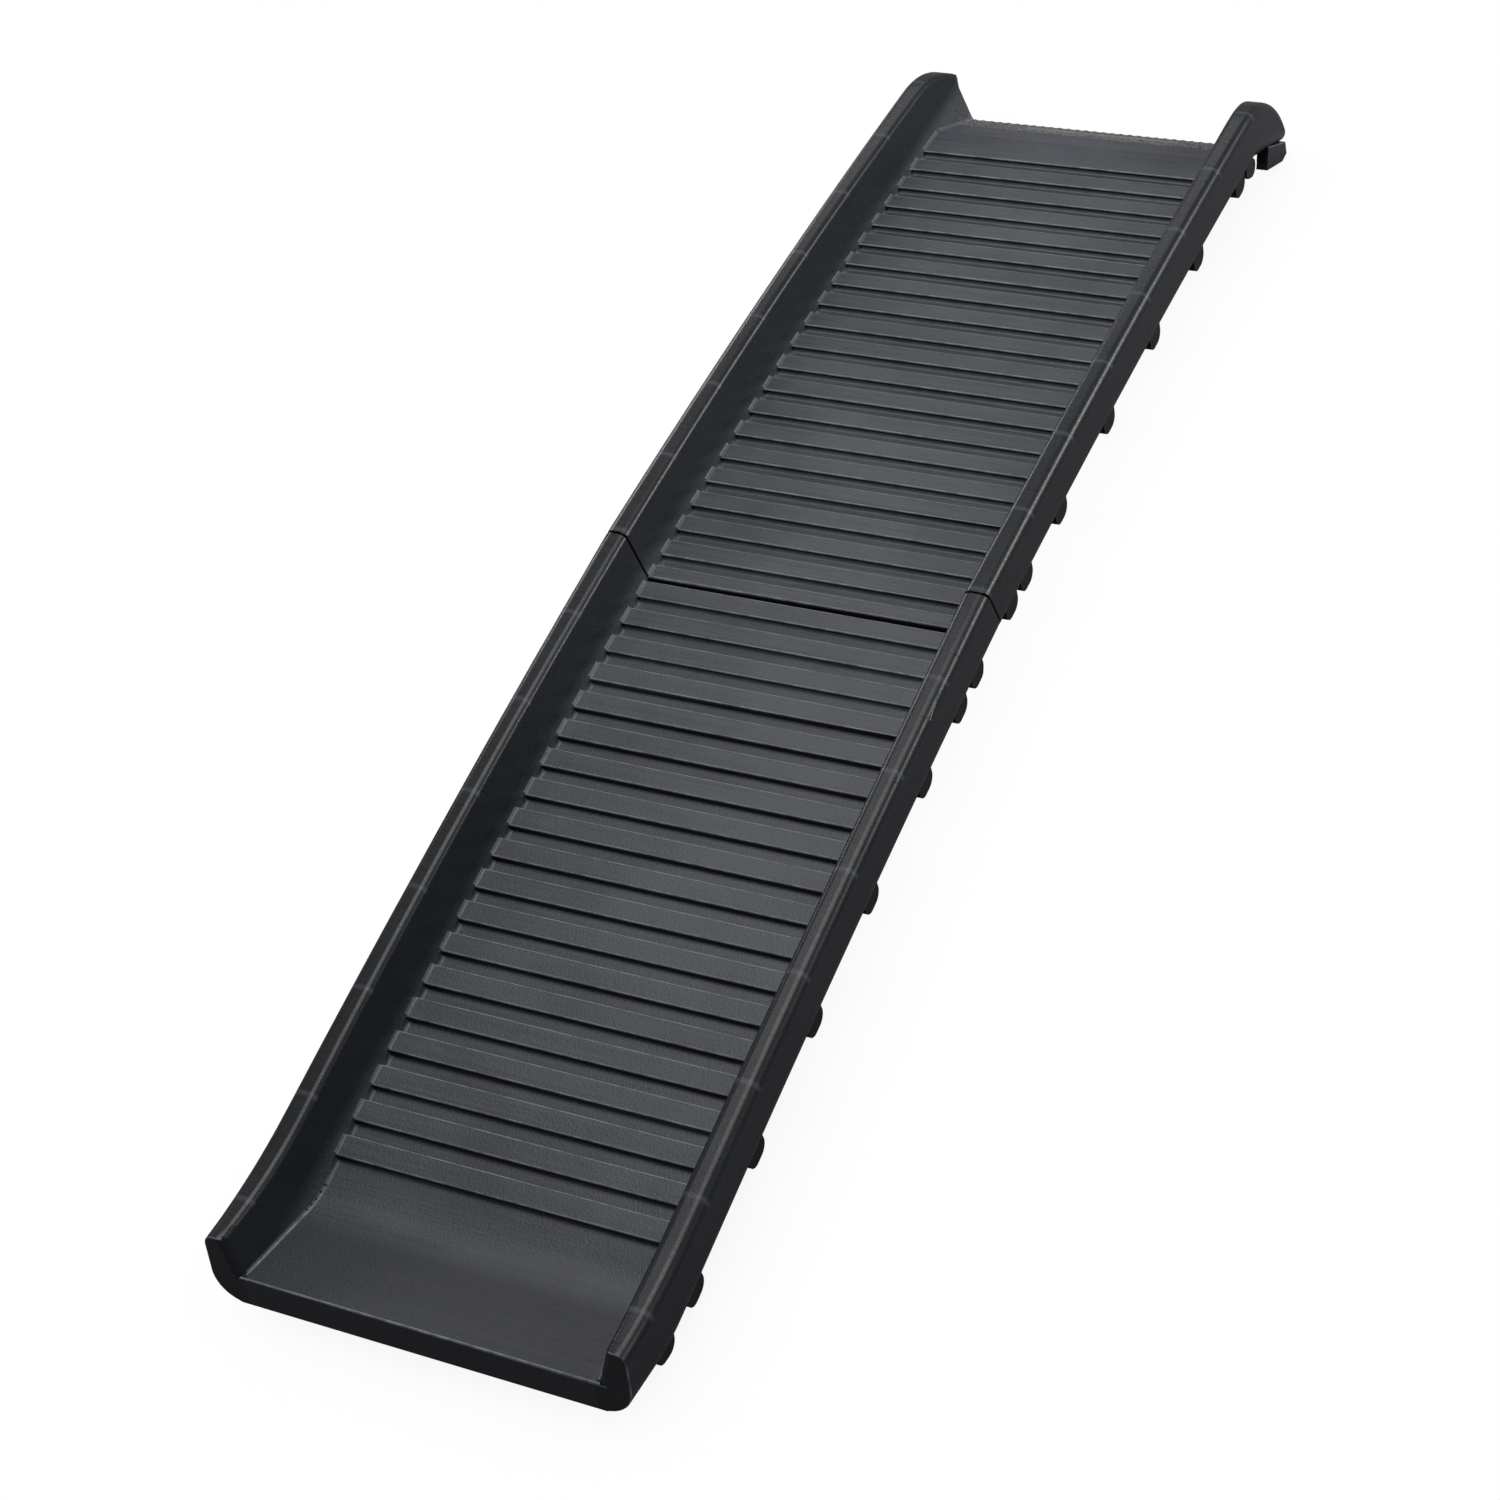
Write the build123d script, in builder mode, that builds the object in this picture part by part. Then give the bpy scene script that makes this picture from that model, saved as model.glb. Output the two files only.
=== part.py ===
"""Folding dog ramp: two hollow moulded halves hinged underneath, lying open on the floor.

X runs across the ramp, Y along it from the foot landing to the top landing, and Z is up.
The floor is at Z = 0. Each half is drawn in side view by a distance from the hinge line,
along its arched deck, and a height above the tops of its slats.
"""

import os
from math import atan2, cos, degrees, radians, sin, sqrt, tan

from build123d import *

# Deck and slats
deck_width = 308.0
slat_pitch = 34.0
slat_land = 20.0
slat_rise = 6.0
lower_slats = 19
upper_slats = 20
lower_first_slat = 14.0
upper_first_slat = 21.0
seam_trench = 14.0

# Arch of the deck, and the bend between the halves when the ramp is open
arch_radius = 8800.0
open_bend = radians(2.45)

# Side rails and base
rail_width = 36.0
rail_height = 46.5
rail_draft = radians(17.0)
rail_outer_round = 9.0
rail_inner_round = 7.0
rim_band = 1.0
rim_shortest = 30.0
rim_slant = 0.5
base_depth = 21.5
base_round = 28.0
wall = 2.6

# Seam between the halves: it leans downhill across the deck and uphill on the outer walls
seam_peak = 2.2
seam_peak_height = 48.0
seam_deck_bottom = 12.8
seam_wall_bottom = -14.0
seam_step_inset = 16.0
seam_gap = 1.4
seam_straight = 30.0

# Foot landing at the lower end
landing_angle = radians(21.0)
landing_start = 686.0
landing_length = 99.0
landing_blend = 14.0
lip_depth = 28.0
lip_rail_height = 37.0
rail_rise_start = 640.0
sole_blend = 30.0

# Turned-down landing at the upper end, with a hooked rail end on each side
top_angle = radians(22.0)
top_start = 705.0
top_end = 776.0
top_depth = 8.5
rail_end_start = 708.0
rail_end_radius = 125.0
rail_end_sweep = radians(100.0)
end_corner_outset = 4.0
end_tip_width = 6.1

# Ribs under both halves
rib_length = 28.0
rib_depth = 15.0
rib_round = 10.5
rib_end_inset = 10.0
hinge_ribs_lower = (33.0, 74.5)
hinge_ribs_upper = (53.5, 91.5)
rib_start_lower = 160.0
rib_start_upper = 181.5
rib_spacing_lower = 126.5
rib_spacing_upper = 130.0
ribs_in_row = 5
sole_rib = 28.0
sole_rib_lift = 8.0
top_rib = 38.0
top_rib_round = 9.0

# Hinge: knuckles moulded on both halves, one steel pin on each side
hinge_drop = 36.0
hinge_shift = 1.0
pin_diameter = 6.0
pin_clearance = 0.05
knuckle_radius = 9.5
knuckle_inset = 27.0
upper_knuckle_length = 30.0
lower_knuckle_length = 15.0
arm_foot = 42.0
arm_heel_lower = 18.0
arm_heel_upper = 8.0
arm_root = 1.2
washer_thickness = 1.2
washer_radius = 8.0
washer_play = 0.3
pin_head_radius = 5.0
pin_head_thickness = 2.5
pin_tail = 3.0
clip_thickness = 1.5
clip_radius = 6.0

# Rubber feet under the lower end and rubber pads under the top end
foot_width = 46.0
foot_length = 12.0
foot_thickness = 6.0
foot_inset = 34.0
lug_start = 74.0
lug_end = 139.0
lug_slope = 6.0
lug_floor = -14.0
lug_width = 12.0
lug_inset = 10.0
pad_inset = 1.0
pad_floor = -22.0
pad_tread = 12.0

# Screws of the feet and pads
screw_head_radius = 3.5
screw_head_height = 2.2
screw_sink = 0.6
screw_shank_radius = 1.6
screw_length = 8.0
screw_clearance = 0.1
foot_screw_spacing = 24.0
pad_screw_spacing = 26.0

# Sizes that follow from those above
half_width = deck_width / 2 + rail_width
seam_step = half_width - seam_step_inset
end_corner = deck_width / 2 + end_corner_outset
knuckle_middle = deck_width / 2 - knuckle_inset
foot_middle = deck_width / 2 - foot_inset
lug_middle = half_width - lug_inset
LOWER = -1
UPPER = 1
foot_distance = rib_start_lower + (ribs_in_row - 1) * rib_spacing_lower
foot_height = -base_depth - rib_depth - foot_thickness
tip_height = rail_height - rail_end_radius
top_turn = top_start / arch_radius + top_angle
end_run = rail_end_start + rail_end_radius - top_end
end_flare = atan2(rail_width - end_corner_outset - end_tip_width, end_run)
pad_near = lug_start + pad_inset
pad_far = lug_end - pad_inset


def flat_point(distance, height):
    """A point of a half in the flat frame whose first axis touches the deck at the hinge line."""
    turn = distance / arch_radius
    return ((arch_radius + height) * sin(turn), (arch_radius + height) * cos(turn) - arch_radius)


def top_flat(length, height):
    """A point of the upper half, in its flat frame, at a length down the top landing."""
    start = flat_point(top_start, 0.0)
    run = length * cos(top_turn) + height * sin(top_turn)
    rise = height * cos(top_turn) - length * sin(top_turn)
    return (start[0] + run, start[1] + rise)


def top_bend(inset):
    """The length down the top landing at which its base meets the base of the deck."""
    top_base = inset - top_depth
    slope = arch_radius * sin(top_angle)
    square = arch_radius**2 + 2 * arch_radius * top_base * cos(top_angle) + top_base**2
    return slope - sqrt(slope**2 - square + (arch_radius + inset - base_depth) ** 2)


# The open ramp stands on its feet and its pads, so both touch the floor at the same height
foot_flat = flat_point(foot_distance, foot_height)
pad_flat = top_flat(pad_far - pad_tread, pad_floor)
lower_tilt = atan2(
    foot_flat[1] - pad_flat[1] * cos(open_bend) + pad_flat[0] * sin(open_bend),
    foot_flat[0] + pad_flat[1] * sin(open_bend) + pad_flat[0] * cos(open_bend),
)
tilt = {LOWER: lower_tilt, UPPER: open_bend - lower_tilt}
hinge_z = foot_flat[0] * sin(lower_tilt) - foot_flat[1] * cos(lower_tilt)


def end_tip(inset):
    """The tip of a hooked rail end, in the flat frame: its arc meets the base of the top landing."""
    start = flat_point(top_start, 0.0)
    centre = flat_point(rail_end_start, tip_height)
    offset = (centre[0] - start[0], centre[1] - start[1])
    centre_run = offset[0] * cos(top_turn) - offset[1] * sin(top_turn)
    centre_rise = offset[0] * sin(top_turn) + offset[1] * cos(top_turn)
    top_base = inset - top_depth
    run = sqrt((rail_end_radius - inset) ** 2 - (top_base - centre_rise) ** 2)
    return top_flat(centre_run + run, top_base)


def reach(side, flat):
    """How far a point of a half's flat frame lies from the hinge line, measured along the floor."""
    return flat[0] * cos(tilt[side]) + flat[1] * sin(tilt[side])


# The origin is midway between the lip of the foot landing and the tip of the top landing
lip_distance = landing_start + landing_length * cos(landing_angle) + lip_depth * sin(landing_angle)
lip_height = landing_length * sin(landing_angle) - slat_rise - lip_depth * cos(landing_angle)
hinge_y = (reach(LOWER, flat_point(lip_distance, lip_height)) - reach(UPPER, end_tip(0.0))) / 2


def place(side, flat):
    """The side-view point (y, z) of a point in a half's flat frame."""
    rise = flat[1] * cos(tilt[side]) - flat[0] * sin(tilt[side])
    return (hinge_y + side * reach(side, flat), hinge_z + rise)


def at(side, distance, height):
    """The side-view point (y, z) of a half at a distance along its deck and a height above it."""
    return place(side, flat_point(distance, height))


def along(side, distance, rise=0.0):
    """The side-view direction outwards along a half's deck, turned upwards by an angle."""
    turn = tilt[side] + distance / arch_radius - rise
    return (side * cos(turn), -sin(turn))


def lean(side, distance):
    """The angle in degrees of a half's deck at a distance, as a side-view rotation."""
    return -side * degrees(tilt[side] + distance / arch_radius)


def landing_point(length, height):
    """A point of the lower half at a length up the foot landing and a height above it."""
    distance = landing_start + length * cos(landing_angle) - height * sin(landing_angle)
    return at(LOWER, distance, length * sin(landing_angle) + height * cos(landing_angle) - slat_rise)


def deck_arc(side, start, end, height):
    """An arc that follows the arched deck at a height."""
    middle = (start + end) / 2
    return ThreePointArc(at(side, start, height), at(side, middle, height), at(side, end, height))


def top_point(length, height):
    """A point of the upper half at a length down the top landing and a height above it."""
    return place(UPPER, top_flat(length, height))


# How far the cutting shapes pass the part, as a multiple of its own sizes
waste_share = 3

seam_past = -40.0
seam_reach = 200.0
seam_high = at(LOWER, seam_peak, seam_peak_height)


def seam_side(side, bottom, inset):
    """The side view of the material past a half's seam, whose line ends at a bottom distance."""
    low = at(LOWER, bottom, -base_depth)
    run = (low[0] - seam_high[0], low[1] - seam_high[1])
    shift = (seam_gap / 2 + inset) * side
    top = (seam_high[0] + shift - run[0], seam_high[1] - run[1])
    end = (low[0] + shift + run[0], low[1] + run[1])
    far = -side * seam_reach
    with BuildLine() as line:
        Polyline(top, end, (end[0] + far, end[1]), (top[0] + far, top[1]), close=True)
    return line.line


def seam_waste(side, inset):
    """The material past a half's stepped seam face."""
    reach_in = seam_step - side * (seam_gap / 2 + inset)
    full = half_width + wall
    whole = seam_deck_bottom if side == UPPER else seam_wall_bottom
    stepped = seam_wall_bottom if side == UPPER else seam_deck_bottom
    with BuildPart() as waste:
        with BuildSketch(Plane.YZ):
            add(seam_side(side, whole, inset))
            make_face()
        extrude(amount=full, both=True)
        if side == LOWER:
            with BuildSketch(Plane.YZ):
                add(seam_side(side, stepped, inset))
                make_face()
            extrude(amount=reach_in, both=True)
        else:
            for face in (reach_in, -full):
                with BuildSketch(Plane.YZ.offset(face)):
                    add(seam_side(side, stepped, inset))
                    make_face()
                extrude(amount=full - reach_in)
    return waste.part


def side_outline(side, inset):
    """The side view of a half from rail top to base, drawn inset from its outer skin."""
    top = rail_height - inset
    base = inset - base_depth
    with BuildLine() as outline:
        if side == LOWER:
            front = landing_length - inset
            lip_base = inset - lip_depth
            sole_height = base + slat_rise - lip_base * cos(landing_angle)
            sole_length = sole_height / sin(landing_angle)
            sole_corner = landing_start + sole_length * cos(landing_angle) - lip_base * sin(landing_angle)
            deck_arc(side, seam_past, rail_rise_start, top)
            rail_end = landing_point(front, lip_rail_height - inset)
            TangentArc(
                at(side, rail_rise_start, top), rail_end, tangent=along(side, rail_rise_start)
            )
            lip_end = landing_point(front, lip_base)
            Line(rail_end, lip_end)
            sole_end = landing_point(sole_length + sole_blend, lip_base)
            Line(lip_end, sole_end)
            inward = along(side, sole_corner, landing_angle)
            TangentArc(sole_end, at(side, sole_corner - sole_blend, base), tangent=(-inward[0], -inward[1]))
            deck_arc(side, sole_corner - sole_blend, seam_past, base)
            Line(at(side, seam_past, base), at(side, seam_past, top))
        else:
            top_base = inset - top_depth
            tip = place(side, end_tip(inset))
            straight = at(side, seam_straight, top)
            back = along(side, seam_straight)
            run = seam_straight - seam_past
            seam_end = (straight[0] - run * back[0], straight[1] - run * back[1])
            Line(seam_end, straight)
            deck_arc(side, seam_straight, rail_end_start, top)
            TangentArc(at(side, rail_end_start, top), tip, tangent=along(side, rail_end_start))
            bend_flat = top_flat(top_bend(inset), top_base)
            bend_distance = arch_radius * atan2(bend_flat[0], bend_flat[1] + arch_radius)
            Line(tip, at(side, bend_distance, base))
            deck_arc(side, bend_distance, seam_past, base)
            Line(at(side, seam_past, base), seam_end)
    return outline.line


def slat_profile(side, inset):
    """Distances and heights of the deck's steps, from the hinge line outwards."""
    first, count = (lower_first_slat, lower_slats) if side == LOWER else (upper_first_slat, upper_slats)
    crest = -inset
    valley = -slat_rise - inset
    if side == LOWER:
        trench = -seam_trench - inset
        steps = [(seam_past, trench), (first + inset, trench), (first + inset, crest)]
    else:
        brink = first - slat_pitch + slat_land - inset
        steps = [(seam_past, crest), (brink, crest), (brink, valley)]
        steps += [(first + inset, valley), (first + inset, crest)]
    for number in range(1, count):
        end = first + (number - 1) * slat_pitch + slat_land - inset
        start = first + number * slat_pitch + inset
        steps += [(end, crest), (end, valley), (start, valley), (start, crest)]
    return steps


def turned_section(centre, turn):
    """An upright plane across the ramp through a centre, turned about X from the vertical."""
    return Plane(centre, x_dir=(1, 0, 0), z_dir=(0, -cos(turn), -sin(turn)))


def arch_centre(side):
    """The middle of a half's arch, far below the floor."""
    return (0, hinge_y - side * arch_radius * sin(tilt[side]), hinge_z - arch_radius * cos(tilt[side]))


def walkway(side, inset):
    """The space between the rails and above the slats of a half, grown by an inset."""
    half_floor = deck_width / 2 + inset / cos(rail_draft) + inset * tan(rail_draft)
    deck_end = landing_start if side == LOWER else top_start
    near = at(side, 0.0, 0.0)
    far = at(side, deck_end, 0.0)
    outward = (0, side * (near[0] - far[0]), side * (near[1] - far[1]))
    low = -waste_share * base_depth
    high = waste_share * rail_height
    low_half = half_floor + low * tan(rail_draft)
    high_half = half_floor + high * tan(rail_draft)
    steps = slat_profile(side, inset)
    with BuildPart() as space:
        with BuildSketch(Plane((0, *near), x_dir=(1, 0, 0), z_dir=outward)):
            with BuildLine():
                Polyline(
                    (-low_half, low), (low_half, low), (high_half, high), (-high_half, high), close=True
                )
            make_face()
        extrude(amount=waste_share * deck_end, both=True)
        with BuildSketch(Plane.YZ):
            with BuildLine():
                if side == LOWER:
                    last = lower_first_slat + (lower_slats - 1) * slat_pitch + slat_land - inset
                    brink = [at(side, last, -inset), at(side, last, -slat_rise - inset)]
                    bend = at(side, landing_start - landing_blend, -slat_rise - inset)
                    Polyline(*[at(side, *step) for step in steps], *brink, bend)
                    blend_end = landing_point(landing_blend, -inset)
                    TangentArc(bend, blend_end, tangent=along(side, landing_start - landing_blend))
                    past = landing_point(waste_share * landing_length, -inset)
                    Line(blend_end, past)
                else:
                    bend = top_point(-inset * tan(top_angle / 2), -inset)
                    past = top_point(waste_share * (top_end - top_start), -inset)
                    Polyline(*[at(side, *step) for step in steps], bend, past)
                above = at(side, landing_start + waste_share * landing_length, high)
                Polyline(past, above, at(side, seam_past, high), at(side, *steps[0]))
            make_face()
        extrude(amount=half_width, both=True, mode=Mode.INTERSECT)
    return space.part


def top_end_waste(inset):
    """The material past the top landing's end, which flares out to the tips of the hooked rail ends."""
    turn = tilt[UPPER] + top_end / arch_radius
    near = end_corner + inset / cos(end_flare) - inset * tan(end_flare)
    run = rail_end_radius
    far = near + (run + inset) * tan(end_flare)
    deck = Plane((0, *at(UPPER, top_end, 0.0)), x_dir=(1, 0, 0), z_dir=(0, sin(turn), cos(turn)))
    with BuildPart() as waste:
        with BuildSketch(deck):
            with BuildLine():
                Polyline((-near, -inset), (near, -inset), (far, run), (-far, run), close=True)
            make_face()
        extrude(amount=run, both=True)
    return waste.part


def corner_waste(base, inset):
    """Sketch of the material outside the rounded lower edges, on a section with a base height."""
    side_x = half_width - inset
    bend = base_round - inset
    with BuildSketch() as corner:
        with BuildLine():
            Polyline(
                (side_x - bend, base),
                (side_x - bend, base - base_round),
                (side_x + wall, base - base_round),
                (side_x + wall, base + bend),
                (side_x, base + bend),
            )
            RadiusArc((side_x, base + bend), (side_x - bend, base), bend)
        make_face()
        mirror(about=Plane.YZ)
    return corner.sketch


def rim_waste(top, inset):
    """Sketch of the material outside the rounded outer top edges of the rails, at a rail top height."""
    side_x = half_width - inset
    bend = rail_outer_round - inset
    with BuildSketch() as corner:
        with BuildLine():
            Polyline(
                (side_x - bend, top),
                (side_x - bend, top + wall),
                (side_x + wall, top + wall),
                (side_x + wall, top - bend),
                (side_x, top - bend),
            )
            RadiusArc((side_x, top - bend), (side_x - bend, top), -bend)
        make_face()
        mirror(about=Plane.YZ)
    return corner.sketch


def upper_rim_waste(inset):
    """The material outside the rounded rail tops of the upper half, along its deck and its rail ends."""
    start_turn = tilt[UPPER] + seam_straight / arch_radius
    end_turn = tilt[UPPER] + rail_end_start / arch_radius
    end_centre = (0, *at(UPPER, rail_end_start, tip_height))
    with BuildPart() as waste:
        with BuildSketch(turned_section((0, *at(UPPER, seam_straight, 0.0)), -start_turn)):
            add(rim_waste(rail_height - inset, inset))
        extrude(amount=seam_straight - 2 * seam_past)
        with BuildSketch(turned_section(arch_centre(UPPER), -end_turn)):
            add(rim_waste(arch_radius + rail_height - inset, inset))
        revolve(axis=Axis(arch_centre(UPPER), (1, 0, 0)), revolution_arc=degrees(end_turn - start_turn))
        with BuildSketch(turned_section(end_centre, -end_turn - rail_end_sweep)):
            add(rim_waste(rail_end_radius - inset, inset))
        revolve(axis=Axis(end_centre, (1, 0, 0)), revolution_arc=degrees(rail_end_sweep))
    return waste.part


def upper_keel_waste(inset):
    """The material outside the rounded lower edges of the upper half, along its deck and its landing."""
    base = inset - base_depth
    top_base = inset - top_depth
    bend_length = top_bend(inset)
    bend_flat = top_flat(bend_length, top_base)
    start_turn = tilt[UPPER] + 2 * seam_past / arch_radius
    end_turn = tilt[UPPER] + atan2(bend_flat[0], bend_flat[1] + arch_radius)
    back = bend_length - (base_round - inset) * tan(top_angle)
    with BuildPart() as waste:
        with BuildSketch(turned_section(arch_centre(UPPER), -end_turn)):
            add(corner_waste(arch_radius + base, inset))
        revolve(axis=Axis(arch_centre(UPPER), (1, 0, 0)), revolution_arc=degrees(end_turn - start_turn))
        with BuildSketch(turned_section((0, *top_point(back, 0.0)), -tilt[UPPER] - top_turn)):
            add(corner_waste(top_base, inset))
        extrude(amount=-2 * rail_end_radius)
    return waste.part


def rib_rows(side):
    """Distances of a half's ribs from the hinge line."""
    first = rib_start_lower if side == LOWER else rib_start_upper
    near = hinge_ribs_lower if side == LOWER else hinge_ribs_upper
    spacing = rib_spacing_lower if side == LOWER else rib_spacing_upper
    return list(near) + [first + number * spacing for number in range(ribs_in_row)]


def end_rib(side, rib_top, rib_floor):
    """The place of the last rib of a half, under its landing."""
    middle = (rib_top + rib_floor) / 2
    if side == LOWER:
        turn = lean(side, landing_start) + side * degrees(landing_angle)
        rise = middle + base_depth - lip_depth + sole_rib_lift
        return Location(landing_point(sole_rib, rise), turn)
    return Location(top_point(top_rib, middle + base_depth - top_depth), -degrees(tilt[side] + top_turn))


def outer_sides(form):
    """The outer wall faces of a form, left and right."""
    faces = form.faces().filter_by(Axis.X).sort_by(Axis.X)
    return (faces[0], faces[-1])


def hollow_form(side, inset):
    """One half's whole form inside an inset skin: its block, its ribs and the walkway taken out."""
    rib_top = -base_depth / 2
    rib_floor = -base_depth - rib_depth + inset
    end_top = rib_top if side == LOWER else top_depth / 2 - base_depth
    end_round = rib_round if side == LOWER else top_rib_round
    with BuildPart() as form:
        with BuildSketch(Plane.YZ):
            add(side_outline(side, inset))
            make_face()
        extrude(amount=half_width - inset, both=True)
        if side == LOWER:
            sides = outer_sides(form)
            rims = [edge for face in sides for edge in face.edges() if is_rail_top(edge)]
            fillet(rims, rail_outer_round - inset)
            sides = outer_sides(form)
            keels = [edge for face in sides for edge in face.edges() if is_keel(edge)]
            fillet(keels, base_round - inset)
        else:
            add(upper_rim_waste(inset), mode=Mode.SUBTRACT)
            add(upper_keel_waste(inset), mode=Mode.SUBTRACT)
            add(top_end_waste(inset), mode=Mode.SUBTRACT)
        add(walkway(side, inset), mode=Mode.SUBTRACT)
        rims = [edge for edge in form.edges() if is_inner_rim(side, edge, inset)]
        fillet(rims, rail_inner_round - inset)
        with BuildSketch(Plane.YZ):
            for distance in rib_rows(side):
                middle = at(side, distance, (rib_top + rib_floor) / 2)
                with Locations(Location(middle, lean(side, distance))):
                    RectangleRounded(rib_length - 2 * inset, rib_top - rib_floor, rib_round - inset)
            with Locations(end_rib(side, end_top, rib_floor)):
                RectangleRounded(rib_length - 2 * inset, end_top - rib_floor, end_round - inset)
        extrude(amount=half_width - rib_end_inset - inset, both=True)
        add(seam_waste(side, inset), mode=Mode.SUBTRACT)
    return form.part


def deck_place(side, point):
    """Distance and height of a point above a half's deck, the inverse of its side view."""
    y = side * (point.Y - hinge_y) + arch_radius * sin(tilt[side])
    z = point.Z - hinge_z + arch_radius * cos(tilt[side])
    return (arch_radius * (atan2(y, z) - tilt[side]), sqrt(y * y + z * z) - arch_radius)


def is_rail_top(edge):
    """True for the long edges along the top of a lower rail, out to where it ends."""
    distance, height = deck_place(LOWER, edge @ 0.5)
    return height > lip_rail_height and distance > seam_past / 2


def is_inner_rim(side, edge, inset):
    """True for the long edges where the inner wall of a rail meets its top."""
    middle = edge @ 0.5
    inner = abs(middle.X) < half_width - rail_outer_round - wall
    landing = lip_rail_height if side == LOWER else 0.0
    distance, height = deck_place(side, middle)
    high = height > rail_height - inset - rim_band or (distance > rail_rise_start and height > landing)
    return inner and high and edge.length > rim_shortest and abs(edge.tangent_at(0.5).X) < rim_slant


def is_keel(edge):
    """True for the long edges along the base of the lower half."""
    distance, height = deck_place(LOWER, edge @ 0.5)
    last = landing_start + landing_length / 2
    return height < -base_depth / 2 + wall and seam_past / 2 < distance < last


axis_y, axis_z = at(LOWER, -hinge_shift, -hinge_drop)
upper_knuckle_end = upper_knuckle_length / 2
lower_knuckle_start = upper_knuckle_end + washer_thickness + washer_play
lower_knuckle_end = lower_knuckle_start + lower_knuckle_length
foot_y = at(LOWER, foot_distance, foot_height)[0]
hands = (("left", -1), ("right", 1))


def across(x):
    """A plane across the hinge at a distance from the middle of the ramp, facing +X."""
    return Plane((x, 0, 0), x_dir=(0, 1, 0), z_dir=(1, 0, 0))


def knuckles(side):
    """The arms and bored knuckles that a half carries on both sides of the ramp."""
    if side == LOWER:
        spans = [(-lower_knuckle_end, lower_knuckle_length), (lower_knuckle_start, lower_knuckle_length)]
        heel = arm_heel_lower
    else:
        spans = [(-upper_knuckle_end, upper_knuckle_length)]
        heel = arm_heel_upper
    roots = [at(side, distance, arm_root - base_depth) for distance in (heel, arm_foot)]
    with BuildPart() as arms:
        for hand in (-1, 1):
            for start, length in spans:
                with BuildSketch(across(hand * knuckle_middle + start)):
                    with BuildLine():
                        Polyline(
                            roots[0],
                            (axis_y, axis_z + knuckle_radius),
                            (axis_y, axis_z - knuckle_radius),
                            roots[1],
                            close=True,
                        )
                    make_face()
                    with Locations((axis_y, axis_z)):
                        Circle(knuckle_radius)
                        Circle(pin_diameter / 2 + pin_clearance, mode=Mode.SUBTRACT)
                extrude(amount=length)
    return arms.part


def foot_screws(hand):
    """The plane on the floor and the screw positions of the foot on one hand."""
    shifts = (-foot_screw_spacing / 2, foot_screw_spacing / 2)
    return Plane.XY, [(hand * foot_middle + shift, foot_y) for shift in shifts]


def pad_screws(hand):
    """The plane of the tread and the screw positions of the pad on one hand."""
    turn = tilt[UPPER] + top_turn
    centre = top_point((pad_near + pad_far - pad_tread) / 2, pad_floor)
    tread = Plane((hand * lug_middle, *centre), x_dir=(1, 0, 0), z_dir=(0, sin(turn), cos(turn)))
    return tread, [(0, -pad_screw_spacing / 2), (0, pad_screw_spacing / 2)]


def pilot_holes(seat):
    """The holes that a foot's or pad's screws go into, from its tread upwards."""
    plane, places = seat
    with BuildPart() as holes:
        with BuildSketch(plane):
            with Locations(*places):
                Circle(screw_shank_radius + screw_clearance)
        extrude(amount=screw_sink + screw_head_height + screw_length + screw_clearance)
    return holes.part


def head_holes(seat):
    """The recesses for the heads of a foot's or pad's screws."""
    plane, places = seat
    with BuildPart() as holes:
        with BuildSketch(plane):
            with Locations(*places):
                Circle(screw_head_radius + screw_clearance)
        extrude(amount=screw_sink + screw_head_height)
    return holes.part


def lugs():
    """The solid lugs under the hooked rail ends, which carry the pads."""
    with BuildPart() as pair:
        for hand in (-1, 1):
            with BuildSketch(across(hand * lug_middle - lug_width / 2)):
                with BuildLine():
                    Polyline(
                        top_point(lug_start, wall),
                        top_point(lug_end - lug_slope, -wall),
                        top_point(lug_end, lug_floor),
                        top_point(lug_start, lug_floor),
                        close=True,
                    )
                make_face()
            extrude(amount=lug_width)
    return pair.part


with BuildPart() as lower_half:
    add(hollow_form(LOWER, 0.0))
    add(hollow_form(LOWER, wall), mode=Mode.SUBTRACT)
    add(knuckles(LOWER))
    for hand in (-1, 1):
        add(pilot_holes(foot_screws(hand)), mode=Mode.SUBTRACT)

with BuildPart() as upper_half:
    add(hollow_form(UPPER, 0.0))
    add(hollow_form(UPPER, wall), mode=Mode.SUBTRACT)
    add(knuckles(UPPER))
    add(lugs())
    for hand in (-1, 1):
        add(pilot_holes(pad_screws(hand)), mode=Mode.SUBTRACT)


def hinge_pin(hand):
    """A steel pin with a flat head on its inner end."""
    head_face = knuckle_middle - lower_knuckle_end - washer_play / 2
    tail_face = knuckle_middle + lower_knuckle_end + washer_play + clip_thickness + pin_tail
    with BuildPart() as pin:
        with BuildSketch(across(hand * head_face)):
            with Locations((axis_y, axis_z)):
                Circle(pin_diameter / 2)
        extrude(amount=hand * (tail_face - head_face))
        with BuildSketch(across(hand * head_face)):
            with Locations((axis_y, axis_z)):
                Circle(pin_head_radius)
        extrude(amount=-hand * pin_head_thickness)
    return pin


def pin_ring(faces, thickness, radius):
    """Flat rings on a hinge pin, each standing on a plane across the ramp."""
    with BuildPart() as ring:
        for face in faces:
            with BuildSketch(across(face)):
                with Locations((axis_y, axis_z)):
                    Circle(radius)
                    Circle(pin_diameter / 2 + pin_clearance, mode=Mode.SUBTRACT)
            extrude(amount=thickness)
    return ring


def hinge_washers(hand):
    """The two washers between the knuckles of one side."""
    gap = upper_knuckle_end + washer_play / 2
    middle = hand * knuckle_middle
    return pin_ring((middle + gap, middle - gap - washer_thickness), washer_thickness, washer_radius)


def hinge_clip(hand):
    """The push-on clip at the outer end of a hinge pin."""
    face = hand * (knuckle_middle + lower_knuckle_end + washer_play)
    start = face if hand > 0 else face - clip_thickness
    return pin_ring((start,), clip_thickness, clip_radius)


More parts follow.
